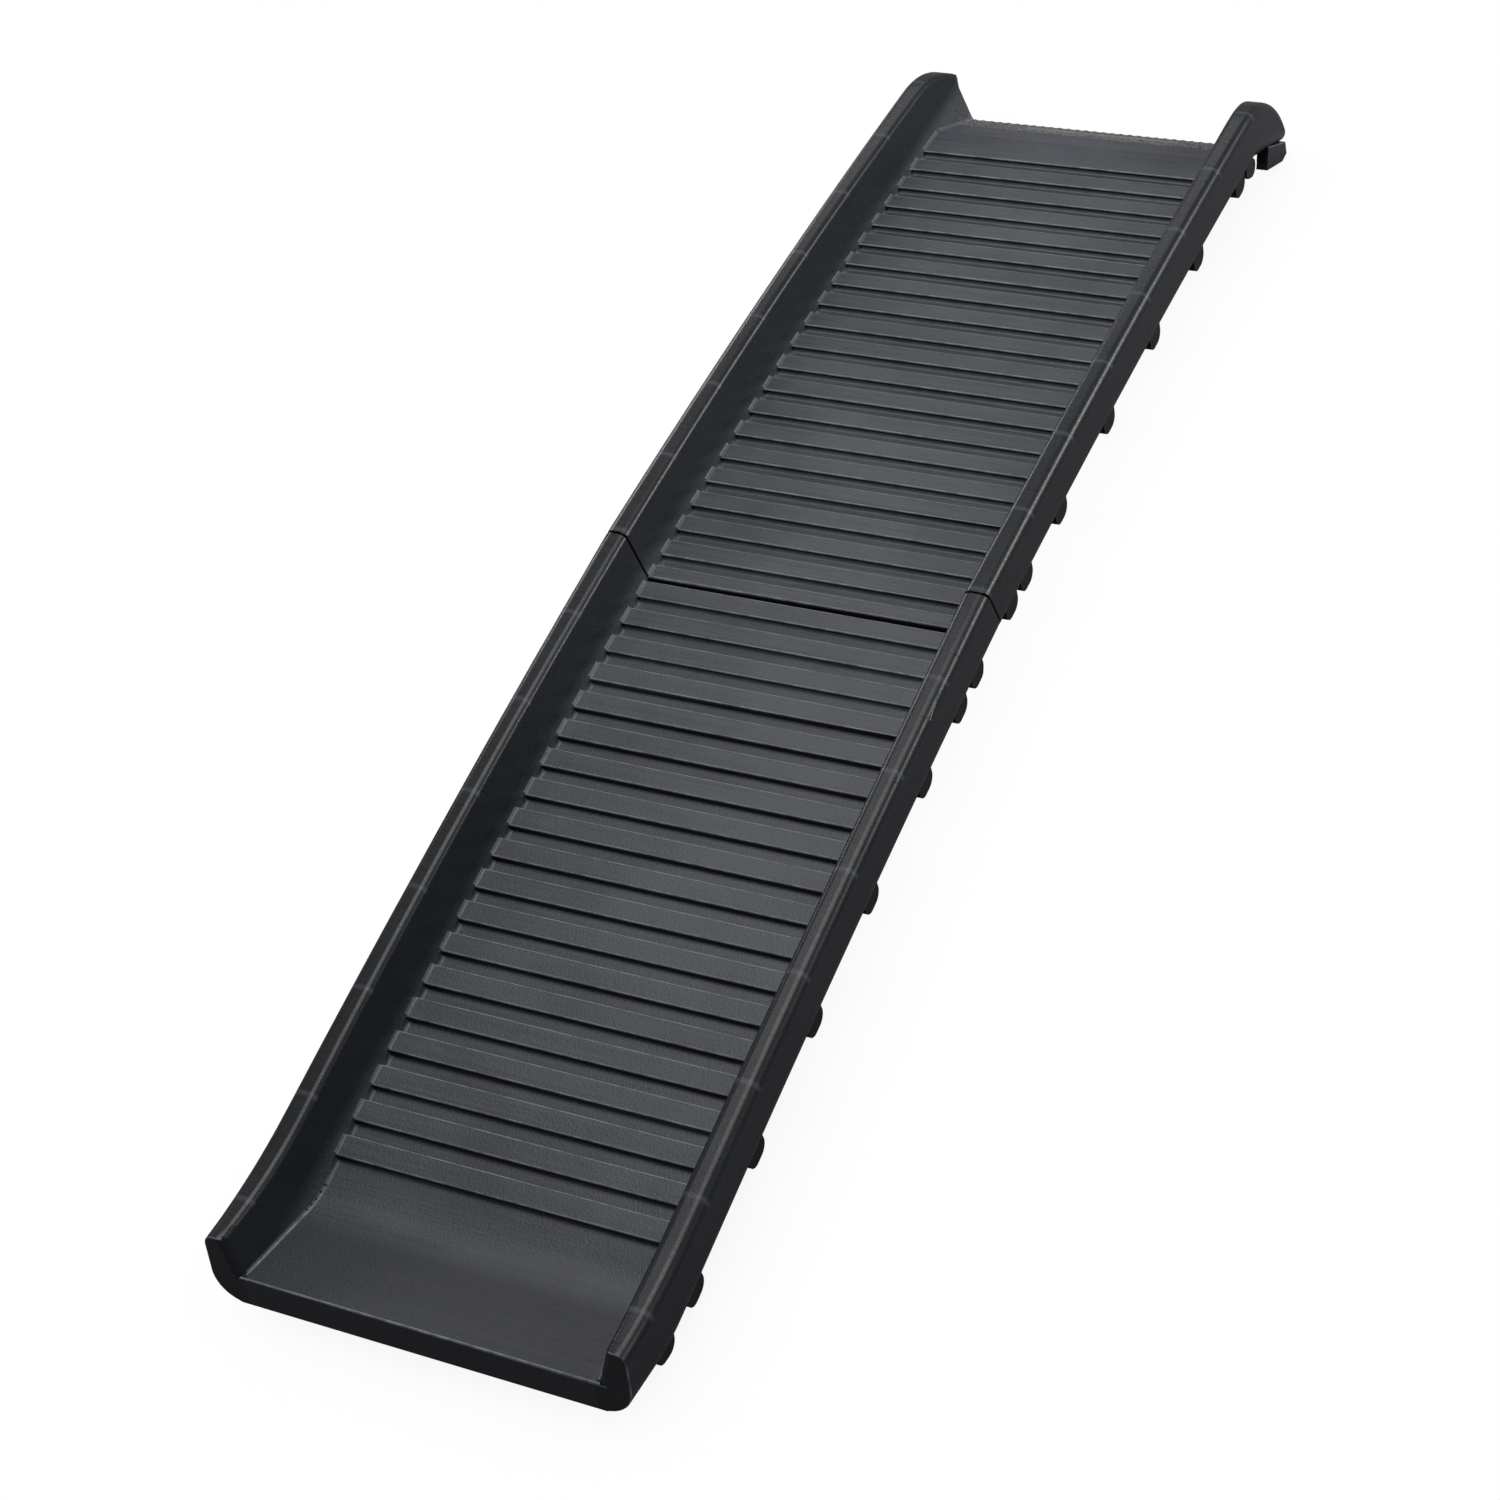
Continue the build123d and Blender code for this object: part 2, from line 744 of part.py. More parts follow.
def lower_foot(hand):
    """A rubber foot under the last rib of the lower half, down to the floor."""
    seat = -base_depth - rib_depth
    near = at(LOWER, foot_distance - foot_length / 2, seat)
    far = at(LOWER, foot_distance + foot_length / 2, seat)
    with BuildPart() as foot:
        with BuildSketch(across(hand * foot_middle - foot_width / 2)):
            with BuildLine():
                Polyline(near, far, (far[0], 0), (near[0], 0), close=True)
            make_face()
        extrude(amount=foot_width)
        add(head_holes(foot_screws(hand)), mode=Mode.SUBTRACT)
        add(pilot_holes(foot_screws(hand)), mode=Mode.SUBTRACT)
    return foot


def upper_pad(hand):
    """A rubber pad under the lug of a rail end, with a flat where it stands on the floor."""
    brink = top_point(pad_far, lug_floor)
    with BuildPart() as pad:
        with BuildSketch(across(hand * lug_middle - lug_width / 2)):
            with BuildLine():
                Polyline(
                    top_point(pad_near, lug_floor),
                    brink,
                    (brink[0], 0),
                    top_point(pad_far - pad_tread, pad_floor),
                    top_point(pad_near, pad_floor),
                    close=True,
                )
            make_face()
        extrude(amount=lug_width)
        add(head_holes(pad_screws(hand)), mode=Mode.SUBTRACT)
        add(pilot_holes(pad_screws(hand)), mode=Mode.SUBTRACT)
    return pad


def screws(seat):
    """Pan-head screws, heads sunk into the rubber and shanks upwards."""
    plane, places = seat
    with BuildPart() as group:
        with BuildSketch(plane.offset(screw_sink)):
            with Locations(*places):
                Circle(screw_head_radius)
        extrude(amount=screw_head_height)
        with BuildSketch(plane.offset(screw_sink + screw_head_height)):
            with Locations(*places):
                Circle(screw_shank_radius)
        extrude(amount=screw_length)
    return group


pieces = {"lower_half": lower_half, "upper_half": upper_half}
for hand_name, hand in hands:
    pieces[f"hinge_pin_{hand_name}"] = hinge_pin(hand)
    pieces[f"hinge_washers_{hand_name}"] = hinge_washers(hand)
    pieces[f"hinge_clip_{hand_name}"] = hinge_clip(hand)
    pieces[f"lower_foot_{hand_name}"] = lower_foot(hand)
    pieces[f"lower_foot_screws_{hand_name}"] = screws(foot_screws(hand))
    pieces[f"upper_pad_{hand_name}"] = upper_pad(hand)
    pieces[f"upper_pad_screws_{hand_name}"] = screws(pad_screws(hand))

os.makedirs("parts", exist_ok=True)
for name, piece in pieces.items():
    piece.part.label = name
    export_step(piece.part, f"parts/{name}.step")
    box = piece.part.bounding_box()
    print(name, round(piece.part.volume), len(piece.part.solids()), piece.part.is_valid, box.min, box.max)
print("hinge axis y, z:", round(axis_y, 3), round(axis_z, 3))
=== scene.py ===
import bisect
import math
import random

import bmesh
import bpy
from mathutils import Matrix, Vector
from mathutils.bvhtree import BVHTree
from mathutils.kdtree import KDTree


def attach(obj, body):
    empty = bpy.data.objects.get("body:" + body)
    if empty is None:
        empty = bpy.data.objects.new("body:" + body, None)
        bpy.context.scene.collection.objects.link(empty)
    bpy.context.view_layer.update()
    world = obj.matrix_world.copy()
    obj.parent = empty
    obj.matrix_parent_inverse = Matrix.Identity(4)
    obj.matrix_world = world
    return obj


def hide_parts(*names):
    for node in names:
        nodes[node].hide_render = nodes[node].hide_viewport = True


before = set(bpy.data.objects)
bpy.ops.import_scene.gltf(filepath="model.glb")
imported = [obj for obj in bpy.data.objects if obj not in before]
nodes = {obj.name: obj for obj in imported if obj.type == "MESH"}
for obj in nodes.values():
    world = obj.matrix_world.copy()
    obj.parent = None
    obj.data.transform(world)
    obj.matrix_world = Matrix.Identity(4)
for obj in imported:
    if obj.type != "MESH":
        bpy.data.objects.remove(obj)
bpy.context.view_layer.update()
scene = bpy.context.scene

# Colours, as sRGB values from 0 to 255
CHARCOAL = (50, 52, 58)
CHARCOAL_PALE = (67, 70, 77)
# Darker charcoal for the grain flecks and for painted shade on the foot landing
CHARCOAL_DEEP = (32, 34, 38)
# Rails and walls: painted shade, a darker copy of the deck's charcoal
RAIL_SHADE_DARK = (23, 25, 28)
RAIL_SHADE_PALE = (30, 32, 35)
# Near black painted shade for the risers, ribs and seam edges
RECESS_SHADE_BLACK = (9, 9, 10)
# Lighter colour for scuffed edges and for painted highlights on noses, edges, beads and sink marks
SCUFF_AND_HIGHLIGHT = (118, 122, 129)
WARM_GREY = (98, 96, 90)
RUBBER = (24, 24, 25)
RUBBER_DUST = (62, 61, 58)
ZINC = (176, 178, 182)
ZINC_DULL = (128, 129, 131)
FLOOR_BOARD = (120, 120, 122)

# Sizes in metres and angles in radians: deck, seam and small fillets
WALKWAY_HALF = 0.154
SEAM_ZONE = (-0.06, 0.03)
LIP_START = -0.77
TOP_EDGE = 0.735
NOSE_ROUND = 0.0012
SEAM_ROUND = 0.0010
WALL_FILLET = 0.0026
STEP_FILLET = 0.0030
FILLET_END = 0.0010
FILLET_STEPS = 5
SHARP_ANGLE = math.radians(25)
CORNER_ANGLE = math.radians(50)
UP = Vector((0, 0, 1))

# How deep small pieces are rooted in the skin, how far off it rays start, and the sides of round pieces
ROOT = 0.0003
RAY_LIFT = 0.0005
ROUND_SIDES = 8

# Rail tops: roundings, ends, spacing of the fine cuts, and how near a point must lie to be fitted
RIM_OUTER = 0.181
RIM_OUTER_ROUND = 0.009
RIM_INNERMOST = 0.1733
RIM_INNER_ROUND = 0.007
RIM_FLAT = 0.177
RIM_ENDS = {"lower_half": (-0.781, -0.0250), "upper_half": (-0.0245, 0.6906)}
RIM_END_SLACK = 0.0012
RIM_KNOT = 0.004
RIM_STEP = 0.001
RIM_STATION = 0.008
RIM_MATCH = 0.03
RIM_PULL = 0.4
CUT_SLACK = 0.000005
HOOK_RADIUS = 0.125
HOOK_SWEEP = math.radians(96)
FLARE_START = 0.728

# Ribs under the base
BASE_DROP = 0.068
RIB_ZONE = (-0.66, 0.68)

# Grip strip and plain plate of the top landing
GRIP_ZONE = (0.722, 0.752)
GRIP_PITCH = 0.0050
GRIP_JITTER = (0.0013, 0.0011)
GRIP_RADIUS = (0.0012, 0.0021)
GRIP_HEIGHT = (0.0005, 0.0010)
EDGE_PITCH = 0.0098
EDGE_RADIUS = 0.0033
EDGE_HEIGHT = 0.0010
PLATE_SIZE = (0.170, 0.011, 0.0005)
PLATE_PLACE = (0.008, 0.7385)
PLATE_BEVEL = 0.0006

# Raised line round the foot landing
BEAD_RADIUS = 0.0011
BEAD_SPAN = (-0.696, -0.7985)
BEAD_STEPS = 26
BEAD_INSET = 0.0012
BEAD_STAND = 0.0006

# Places where the plastic changes: rails (glossier, with painted shade), foot landing (coarser, with painted
# shade), grip strip, and sink marks on the rails (painted highlight)
RAIL_FADE = (0.153, 0.160)
FOOT_FADE = (-0.738, -0.706)
GRIP_FADE = (0.720, 0.726)
GRIP_SIDES = (0.144, 0.151)
SINK_SHIFT = 0.02
SINK_HALF_PITCH = 0.052
SINK_WIDTH = 0.0040

# Shares of wear and painted highlight on the small pieces, and of light from all round
FILLET_WEAR = 0.15
GRIP_WEAR = 0.25
PLATE_WEAR = 0.45
# The raised line round the foot landing is fully lightened as a painted highlight
BEAD_WEAR_AND_HIGHLIGHT = 1.0
AMBIENT = 0.24

# Face marks that the plastic reads
WEAR_AND_HIGHLIGHT = "wear_and_highlight"
SHADE = "shade"
ON_RIM = "on_rim"


def linear(colour):
    """The linear colour of an sRGB one."""
    parts = []
    for value in colour:
        share = value / 255
        parts.append(share / 12.92 if share <= 0.04045 else ((share + 0.055) / 1.055) ** 2.4)
    return (*parts, 1.0)


class Shader:
    """A node material that is built one node at a time."""

    def __init__(self, name):
        self.material = bpy.data.materials.new(name)
        self.material.use_nodes = True
        self.tree = self.material.node_tree
        self.tree.nodes.clear()
        self.output = self.add("ShaderNodeOutputMaterial")

    def add(self, kind, **settings):
        node = self.tree.nodes.new(kind)
        for key, value in settings.items():
            setattr(node, key, value)
        return node

    def put(self, node, socket, value):
        """Sets a socket to a number or colour, or joins it to another node's output."""
        if isinstance(value, bpy.types.NodeSocket):
            self.tree.links.new(value, node.inputs[socket])
        else:
            node.inputs[socket].default_value = value

    def place(self, scale):
        """Object coordinates, stretched."""
        mapping = self.add("ShaderNodeMapping")
        self.put(mapping, "Vector", self.add("ShaderNodeTexCoord").outputs["Object"])
        self.put(mapping, "Scale", scale)
        return mapping.outputs["Vector"]

    def noise(self, scale, stretch=(1, 1, 1), detail=3.0, roughness=0.55):
        texture = self.add("ShaderNodeTexNoise")
        self.put(texture, "Vector", self.place(stretch))
        self.put(texture, "Scale", scale)
        self.put(texture, "Detail", detail)
        self.put(texture, "Roughness", roughness)
        return texture.outputs["Fac"]

    def pebbles(self, scale):
        texture = self.add("ShaderNodeTexVoronoi", feature="SMOOTH_F1")
        self.put(texture, "Vector", self.place((1, 1, 1)))
        self.put(texture, "Scale", scale)
        self.put(texture, "Smoothness", 0.6)
        return texture.outputs["Distance"]

    def math(self, operation, first, second=0.0):
        node = self.add("ShaderNodeMath", operation=operation)
        self.put(node, 0, first)
        self.put(node, 1, second)
        return node.outputs[0]

    def between(self, value, low, high, new_low, new_high):
        node = self.add("ShaderNodeMapRange", interpolation_type="SMOOTHSTEP")
        self.put(node, "Value", value)
        self.put(node, "From Min", low)
        self.put(node, "From Max", high)
        self.put(node, "To Min", new_low)
        self.put(node, "To Max", new_high)
        return node.outputs["Result"]

    def mix(self, share, first, second):
        node = self.add("ShaderNodeMix", data_type="RGBA")
        self.put(node, "Factor", share)
        self.put(node, 6, first)
        self.put(node, 7, second)
        return node.outputs[2]

    def bump(self, height, strength, distance, normal=None):
        node = self.add("ShaderNodeBump")
        self.put(node, "Height", height)
        self.put(node, "Strength", strength)
        self.put(node, "Distance", distance)
        if normal is not None:
            self.put(node, "Normal", normal)
        return node.outputs["Normal"]

    def attribute(self, name):
        return self.add("ShaderNodeAttribute", attribute_name=name).outputs["Fac"]

    def finish(self, colour, roughness, normal, **other):
        surface = self.add("ShaderNodeBsdfPrincipled")
        self.put(surface, "Base Color", colour)
        self.put(surface, "Roughness", roughness)
        self.put(surface, "Normal", normal)
        for socket, value in other.items():
            self.put(surface, socket, value)
        self.put(self.output, "Surface", surface.outputs["BSDF"])
        return self.material


def moulded_plastic():
    """Charcoal polyethylene: fine spark grain, drawn-out flow marks, edges lightened by scuffs and painted
    highlight, painted shade in recesses and on rails, walls and foot landing.
    """
    shader = Shader("moulded_charcoal_plastic")
    spot = shader.add("ShaderNodeSeparateXYZ")
    shader.put(spot, "Vector", shader.add("ShaderNodeTexCoord").outputs["Object"])
    across = shader.math("ABSOLUTE", spot.outputs["X"])
    along = spot.outputs["Y"]
    on_rail = shader.between(across, *RAIL_FADE, 0.0, 1.0)
    foot = shader.between(along, *FOOT_FADE, 1.0, 0.0)
    foot = shader.math("MULTIPLY", foot, shader.between(on_rail, 0.0, 1.0, 1.0, 0.0))
    grip = shader.between(along, *GRIP_FADE, 0.0, 1.0)
    grip = shader.math("MULTIPLY", grip, shader.between(across, *GRIP_SIDES, 1.0, 0.0))

    clouds = shader.noise(9.0, detail=4.0)
    flow = shader.noise(14.0, (0.35, 24, 24), detail=4.0, roughness=0.6)
    grain = shader.noise(1150.0, detail=2.0, roughness=0.6)
    pebble = shader.pebbles(520.0)
    blotches = shader.noise(260.0, detail=3.0, roughness=0.6)
    scuffs = shader.between(shader.noise(70.0), 0.30, 0.65, 0.35, 0.95)
    scuff_and_highlight = shader.math("MULTIPLY", shader.attribute(WEAR_AND_HIGHLIGHT), scuffs)
    # Painted highlight: faint lighter bands across the rail tops at the sink marks
    sink_highlight = shader.math("PINGPONG", shader.math("ADD", along, SINK_SHIFT), SINK_HALF_PITCH)
    sink_highlight = shader.between(sink_highlight, 0.0, SINK_WIDTH, 0.16, 0.0)
    sink_highlight = shader.math("MULTIPLY", sink_highlight, shader.attribute(ON_RIM))

    deck_tone = shader.between(shader.math("ADD", clouds, flow), 0.76, 1.24, 0.0, 1.0)
    rail_tone = shader.between(clouds, 0.3, 0.7, 0.0, 1.0)
    deck_colour = shader.mix(deck_tone, linear(CHARCOAL), linear(CHARCOAL_PALE))
    # Rails and walls get painted shade: a darker copy of the deck colour
    rail_shade_colour = shader.mix(rail_tone, linear(RAIL_SHADE_DARK), linear(RAIL_SHADE_PALE))
    colour = shader.mix(on_rail, deck_colour, rail_shade_colour)
    colour = shader.mix(shader.between(grain, 0.35, 0.62, 0.55, 0.0), colour, linear(CHARCOAL_DEEP))
    # Painted shade: the foot landing is darkened
    colour = shader.mix(shader.math("MULTIPLY", foot, 0.95), colour, linear(CHARCOAL_DEEP))
    mottle = shader.math("MULTIPLY", grip, shader.between(blotches, 0.42, 0.58, 0.0, 0.9))
    colour = shader.mix(mottle, colour, linear(WARM_GREY))
    colour = shader.mix(sink_highlight, colour, linear(SCUFF_AND_HIGHLIGHT))
    # Scuffs and painted highlight on the rounded edges and small pieces
    colour = shader.mix(scuff_and_highlight, colour, linear(SCUFF_AND_HIGHLIGHT))
    # Painted shade: faces marked with the shade attribute go nearly black
    colour = shader.mix(shader.math("MULTIPLY", shader.attribute(SHADE), 0.85), colour, linear(RECESS_SHADE_BLACK))

    deck_gloss = shader.between(shader.math("ADD", grain, flow), 0.6, 1.4, 0.40, 0.56)
    roughness = shader.add("ShaderNodeMix", data_type="FLOAT")
    shader.put(roughness, "Factor", on_rail)
    shader.put(roughness, 2, shader.math("ADD", deck_gloss, shader.math("MULTIPLY", foot, 0.15)))
    shader.put(roughness, 3, shader.math("SUBTRACT", deck_gloss, 0.16))
    pebble_depth = shader.between(on_rail, 0.0, 1.0, 0.30, 0.08)
    pebble_depth = shader.math("ADD", shader.math("MULTIPLY", foot, 0.25), pebble_depth)
    grain_depth = shader.between(on_rail, 0.0, 1.0, 0.22, 0.05)
    normal = shader.bump(pebble, pebble_depth, 0.0006)
    normal = shader.bump(grain, grain_depth, 0.0004, normal)
    normal = shader.bump(flow, 0.12, 0.0006, normal)
    normal = shader.bump(shader.math("MULTIPLY", blotches, grip), 0.5, 0.0012, normal)
    shine = shader.between(on_rail, 0.0, 1.0, 0.5, 0.3)
    return shader.finish(colour, roughness.outputs[0], normal, **{"IOR": 1.49, "Specular IOR Level": shine})


def black_rubber():
    """Soft rubber with a dusty bloom and a fine pitted skin."""
    shader = Shader("black_rubber")
    pits = shader.pebbles(700.0)
    dust = shader.between(shader.noise(60.0, detail=5.0), 0.45, 0.8, 0.0, 0.45)
    colour = shader.mix(dust, linear(RUBBER), linear(RUBBER_DUST))
    normal = shader.bump(pits, 0.35, 0.0004)
    roughness = shader.between(dust, 0.0, 0.45, 0.62, 0.85)
    return shader.finish(colour, roughness, normal, IOR=1.52)


def zinc_steel():
    """Zinc-plated steel with turning marks and dull patches."""
    shader = Shader("zinc_plated_steel")
    patches = shader.between(shader.noise(180.0, detail=5.0), 0.35, 0.7, 0.0, 1.0)
    turning = shader.noise(900.0, (4, 0.2, 0.2), 2.0)
    colour = shader.mix(patches, linear(ZINC), linear(ZINC_DULL))
    roughness = shader.between(turning, 0.3, 0.7, 0.24, 0.46)
    normal = shader.bump(turning, 0.15, 0.0002)
    return shader.finish(colour, roughness, normal, Metallic=1.0)


def dress(piece, material):
    piece.data.materials.clear()
    piece.data.materials.append(material)


def even_shading(piece):
    """Smooth shading that keeps flat faces flat and true corners sharp."""
    piece.data.shade_smooth()
    weighted = piece.modifiers.new("even_shading", "WEIGHTED_NORMAL")
    weighted.keep_sharp = True


def surface_of(node):
    """A tree for dropping points on to a carried-over solid."""
    mesh = nodes[node].data
    corners = [vertex.co.copy() for vertex in mesh.vertices]
    return BVHTree.FromPolygons(corners, [tuple(face.vertices) for face in mesh.polygons])


def drop(tree, x, y):
    """The point of the solid under a place, and its outward direction."""
    point, normal, _, _ = tree.ray_cast(Vector((x, y, 1.0)), Vector((0, 0, -1)))
    return point, normal


def merged(work, node):
    """Fills a work mesh with a solid's skin, its flat faces whole."""
    work.from_mesh(nodes[node].data)
    bmesh.ops.remove_doubles(work, verts=work.verts, dist=0.00002)
    bmesh.ops.dissolve_limit(
        work,
        angle_limit=math.radians(0.03),
        verts=work.verts,
        edges=work.edges,
        use_dissolve_boundaries=False,
    )


class Rim:
    """The rounded tops of a half's rails: a line along the rail with a rounding on each side of it."""

    def __init__(self, node):
        self.points, self.edge = crest_points(node)
        self.tree = KDTree(len(self.points))
        for index, point in enumerate(self.points):
            self.tree.insert(point, index)
        self.tree.balance()

    def along(self, index):
        """The direction of the line at one of its points."""
        before = self.points[max(index - 1, 0)]
        after = self.points[min(index + 1, len(self.points) - 1)]
        return (after - before).normalized()

    def inner_edge(self, y):
        """How far out the rail's flat top starts at a place along it."""
        index = min(max(bisect.bisect(self.edge, (y, 0)), 1), len(self.edge) - 1)
        before, after = self.edge[index - 1], self.edge[index]
        share = min(max((y - before[0]) / (after[0] - before[0]), 0.0), 1.0)
        return before[1] + (after[1] - before[1]) * share

    def frame(self, spot):
        """The nearest place of the line, its outward direction, and how far out of it a point lies."""
        side_view = Vector((0, spot.y, spot.z))
        nearest, index, _ = self.tree.find(side_view)
        along = self.along(index)
        crest = nearest + along * (side_view - nearest).dot(along)
        out = Vector((0, -along.z, along.y))
        return crest, out, (side_view - crest).dot(out)

    def fit(self, spot, slack):
        """The true rim's point and outward direction near a point, or nothing away from the rim."""
        hand = math.copysign(1.0, spot.x)
        far = abs(spot.x)
        inner = far < RIM_FLAT
        if inner and spot.y > FLARE_START:
            return None
        crest, out, rise = self.frame(spot)
        past_end = (crest - self.points[-1]).dot(self.along(len(self.points) - 1))
        if spot.y < self.points[0].y - RIM_END_SLACK or past_end > RIM_END_SLACK:
            return None
        bend = RIM_INNER_ROUND if inner else RIM_OUTER_ROUND
        centre = max(far, self.inner_edge(crest.y)) if inner else min(far, RIM_OUTER)
        lean = Vector((hand * (far - centre), 0, 0)) + out * (rise + bend)
        if rise + bend < -0.0002 or abs(lean.length / bend - 1) > slack:
            return None
        direction = lean.normalized()
        return Vector((hand * centre, crest.y, crest.z)) - out * bend + direction * bend, direction


def crest_points(node):
    """Close points along the top of a rail, seen from the side, and places of its flat's inner edge."""
    mesh = nodes[node].data
    tree = surface_of(node)
    low, high = RIM_ENDS[node]
    spots = set()
    inner = set()
    for face in mesh.polygons:
        corners = [mesh.vertices[index].co for index in face.vertices]
        on_flat = all(RIM_INNERMOST < spot.x < RIM_OUTER + 0.0001 for spot in corners)
        if abs(face.normal.x) > 0.02 or not on_flat:
            continue
        top, _ = drop(tree, face.center.x, face.center.y)
        if top is not None and abs(top.z - face.center.z) < 0.0003:
            spots.update((spot.y, spot.z) for spot in corners if low < spot.y < high)
            inner.update(
                (spot.y, spot.x)
                for spot in corners
                if low < spot.y < FLARE_START and spot.x < RIM_FLAT
            )
    knots = []
    for spot in sorted(spots):
        point = Vector((0, *spot))
        if not knots or (point - knots[-1]).length > RIM_KNOT:
            knots.append(point)
    slopes = []
    for before, here, after in zip(knots, knots[1:], knots[2:]):
        back, ahead = here - before, after - here
        share = back.length / (back.length + ahead.length)
        slopes.append(back.normalized().lerp(ahead.normalized(), share))
    slopes.insert(0, 2 * (knots[1] - knots[0]).normalized() - slopes[0])
    slopes.append(2 * (knots[-1] - knots[-2]).normalized() - slopes[-1])
    points = []
    for here, after, leave, reach in zip(knots, knots[1:], slopes, slopes[1:]):
        gap = (after - here).length
        steps = math.ceil(gap / RIM_STEP)
        for step in range(steps):
            share = step / steps
            lift = share * share * (3 - 2 * share)
            points.append(
                here.lerp(after, lift)
                + leave * (gap * share * (1 - share) ** 2)
                - reach * (gap * share * share * (1 - share))
            )
    points.append(knots[-1])
    if node == "upper_half":
        ahead = slopes[-1].normalized()
        out = Vector((0, -ahead.z, ahead.y))
        centre = knots[-1] - out * HOOK_RADIUS
        steps = round(HOOK_SWEEP * HOOK_RADIUS / RIM_STEP)
        for step in range(1, steps + 1):
            turn = HOOK_SWEEP * step / steps
            points.append(centre + (out * math.cos(turn) + ahead * math.sin(turn)) * HOOK_RADIUS)
    edge = []
    for spot in sorted(inner):
        if not edge or spot[0] > edge[-1][0] + RIM_KNOT:
            edge.append(spot)
    return points, edge


def refine_rims(work, rim):
    """Cuts the rail tops finely and sets them on their true roundings."""
    wear_and_highlight = work.faces.layers.float[WEAR_AND_HIGHLIGHT]
    on_rim = work.faces.layers.float[ON_RIM]
    work.normal_update()
    parts = set()
    for face in work.faces:
        if face[wear_and_highlight] or min(abs(vert.co.x) for vert in face.verts) < WALKWAY_HALF:
            continue
        fits = [rim.fit(vert.co, RIM_MATCH) for vert in face.verts]
        if None in fits or min(direction.dot(face.normal) for _, direction in fits) < 0.45:
            continue
        parts.update((face, *face.edges, *face.verts))
    geometry = list(parts)
    spacing = round(RIM_STATION / RIM_STEP)
    for index in range(spacing // 2, len(rim.points) - 2, spacing):
        cut = bmesh.ops.bisect_plane(
            work, geom=geometry, dist=CUT_SLACK, plane_co=rim.points[index], plane_no=rim.along(index)
        )
        geometry = cut["geom"]
    columns = [RIM_OUTER + RIM_OUTER_ROUND * math.sin(math.radians(turn)) for turn in range(0, 80, 12)]
    columns += [RIM_INNERMOST + 0.001 * step for step in range(-7, 4)]
    for column in columns:
        for hand in (-1, 1):
            cut = bmesh.ops.bisect_plane(
                work, geom=geometry, dist=CUT_SLACK, plane_co=(hand * column, 0, 0), plane_no=(1, 0, 0)
            )
            geometry = cut["geom"]
    faces = [part for part in geometry if isinstance(part, bmesh.types.BMFace)]
    kept = {vert for face in work.faces if face[wear_and_highlight] for vert in face.verts}
    for vert in {vert for face in faces for vert in face.verts} - kept:
        fit = rim.fit(vert.co, RIM_PULL)
        if fit is not None:
            vert.co = fit[0]
    for face in faces:
        face[on_rim] = 1.0


def true_rims(piece, rim):
    """Shades the rounded rail tops by their true directions."""
    shown = piece.evaluated_get(bpy.context.evaluated_depsgraph_get())
    mesh = bpy.data.meshes.new_from_object(shown)
    directions = [corner.vector.copy() for corner in mesh.corner_normals]
    marks = mesh.attributes[ON_RIM].data
    for face in mesh.polygons:
        if not marks[face.index].value:
            continue
        for corner in face.loop_indices:
            fit = rim.fit(mesh.vertices[mesh.loops[corner].vertex_index].co, RIM_PULL)
            if fit is not None:
                directions[corner] = fit[1]
    mesh.normals_split_custom_set(directions)
    piece.modifiers.clear()
    piece.data = mesh


def shade_recesses(work, rim):
    """Marks the steps between slats and the ribs under the base for painted shade, where little light gets.
    """
    shade = work.faces.layers.float[SHADE]
    for face in work.faces:
        middle = face.calc_center_median()
        step = abs(face.normal.y) > 0.75 and face.calc_area() > 0.0008 and middle.y > LIP_START
        rib = RIB_ZONE[0] < middle.y < RIB_ZONE[1] and rim.frame(middle)[2] < -BASE_DROP - 0.001
        if step or rib:
            face[shade] = 1.0


def shade_seam(work):
    """Paints shade on the rounded edges of the seam on walls and rails, in place of their scuffs and
    highlight.
    """
    wear_and_highlight = work.faces.layers.float[WEAR_AND_HIGHLIGHT]
    shade = work.faces.layers.float[SHADE]
    for face in work.faces:
        middle = face.calc_center_median()
        if face[wear_and_highlight] and abs(middle.x) > WALKWAY_HALF and SEAM_ZONE[0] < middle.y < SEAM_ZONE[1]:
            face[wear_and_highlight] = 0.0
            face[shade] = 1.0


def middle_of(edge):
    return (edge.verts[0].co + edge.verts[1].co) / 2


def is_open(tree, edge):
    """True where nothing lies above or outside an edge, so it is on the outer skin."""
    outward = (edge.link_faces[0].normal + edge.link_faces[1].normal).normalized()
    start = middle_of(edge) + outward * RAY_LIFT
    return tree.ray_cast(start, outward)[0] is None or tree.ray_cast(start, UP)[0] is None


def crosses_deck(edge):
    """True for the long straight edges that run from wall to wall."""
    run = edge.verts[1].co - edge.verts[0].co
    return run.length > WALKWAY_HALF and abs(run.x) > 0.98 * run.length


def end_face(node, face):
    """True for the faces at the two ends of a half: its seam, and its lip or rail ends."""
    middle = face.calc_center_median()
    if node == "lower_half":
        seam = face.normal.y > 0.7 and middle.y > SEAM_ZONE[0]
        return seam or (face.normal.y < -0.7 and middle.y < LIP_START)
    seam = face.normal.y < -0.7 and middle.y < SEAM_ZONE[1]
    return seam or (face.normal.y > 0.5 and middle.y > TOP_EDGE)


def round_off(work, chosen, width, segments):
    """Rounds chosen convex edges of the outer skin."""
    tree = BVHTree.FromBMesh(work)
    edges = []
    for edge in work.edges:
        if len(edge.link_faces) != 2 or edge.calc_face_angle_signed() < SHARP_ANGLE:
            continue
        if chosen(edge) and is_open(tree, edge):
            edges.append(edge)
    made = bmesh.ops.bevel(
        work,
        geom=edges,
        offset=width,
        offset_type="OFFSET",
        segments=segments,
        profile=0.5,
        affect="EDGES",
        clamp_overlap=False,
    )
    # The rounded faces are marked for lightening: partly wear, partly painted highlight
    wear_and_highlight = work.faces.layers.float[WEAR_AND_HIGHLIGHT]
    for face in made["faces"]:
        face[wear_and_highlight] = 1.0


